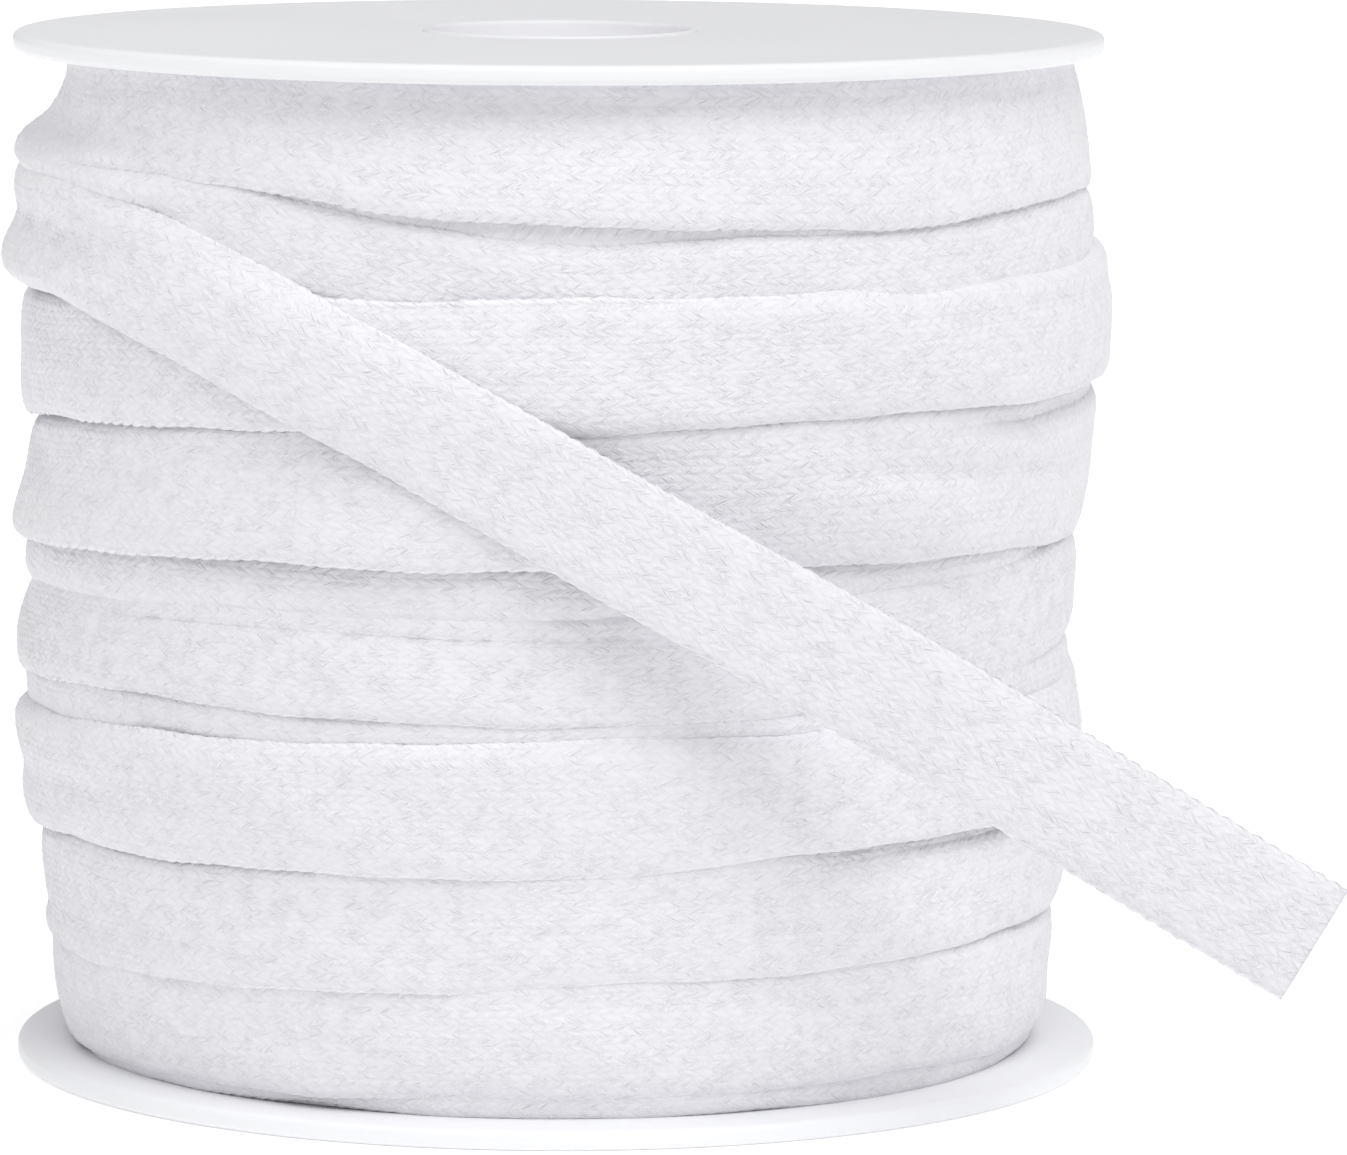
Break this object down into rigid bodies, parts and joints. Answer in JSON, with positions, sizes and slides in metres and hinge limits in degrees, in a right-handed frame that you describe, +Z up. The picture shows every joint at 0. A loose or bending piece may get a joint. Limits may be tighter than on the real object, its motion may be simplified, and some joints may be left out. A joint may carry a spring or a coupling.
{
  "type": "roll of flat drawstring cord on a flanged reel",
  "caption": "Flat braided cotton drawstring cord wound in overlapping turns on a plastic reel with two round flanges, one cut end pulled loose across the front.",
  "frame": {"origin": "middle of the reel's underside, on the surface that it rests on", "axes": "+Z up along the reel's bore; -Y towards the viewer, the side that the loose end crosses; +X to the viewer's right, where the cut end points"},
  "size_m": [0.1351, 0.1248, 0.1088],
  "materials": {
    "reel_plastic": "white moulded plastic, soft satin sheen",
    "core_plastic": "white plastic tube, satin",
    "braided_cotton": "white flat braided cotton, matte and slightly fuzzy"
  },
  "bodies": {
    "root": {"flange_top": "reel_plastic", "flange_bottom": "reel_plastic", "core_tube": "core_plastic", "winding": "braided_cotton", "loose_end": "braided_cotton"}
  },
  "joints": []
}
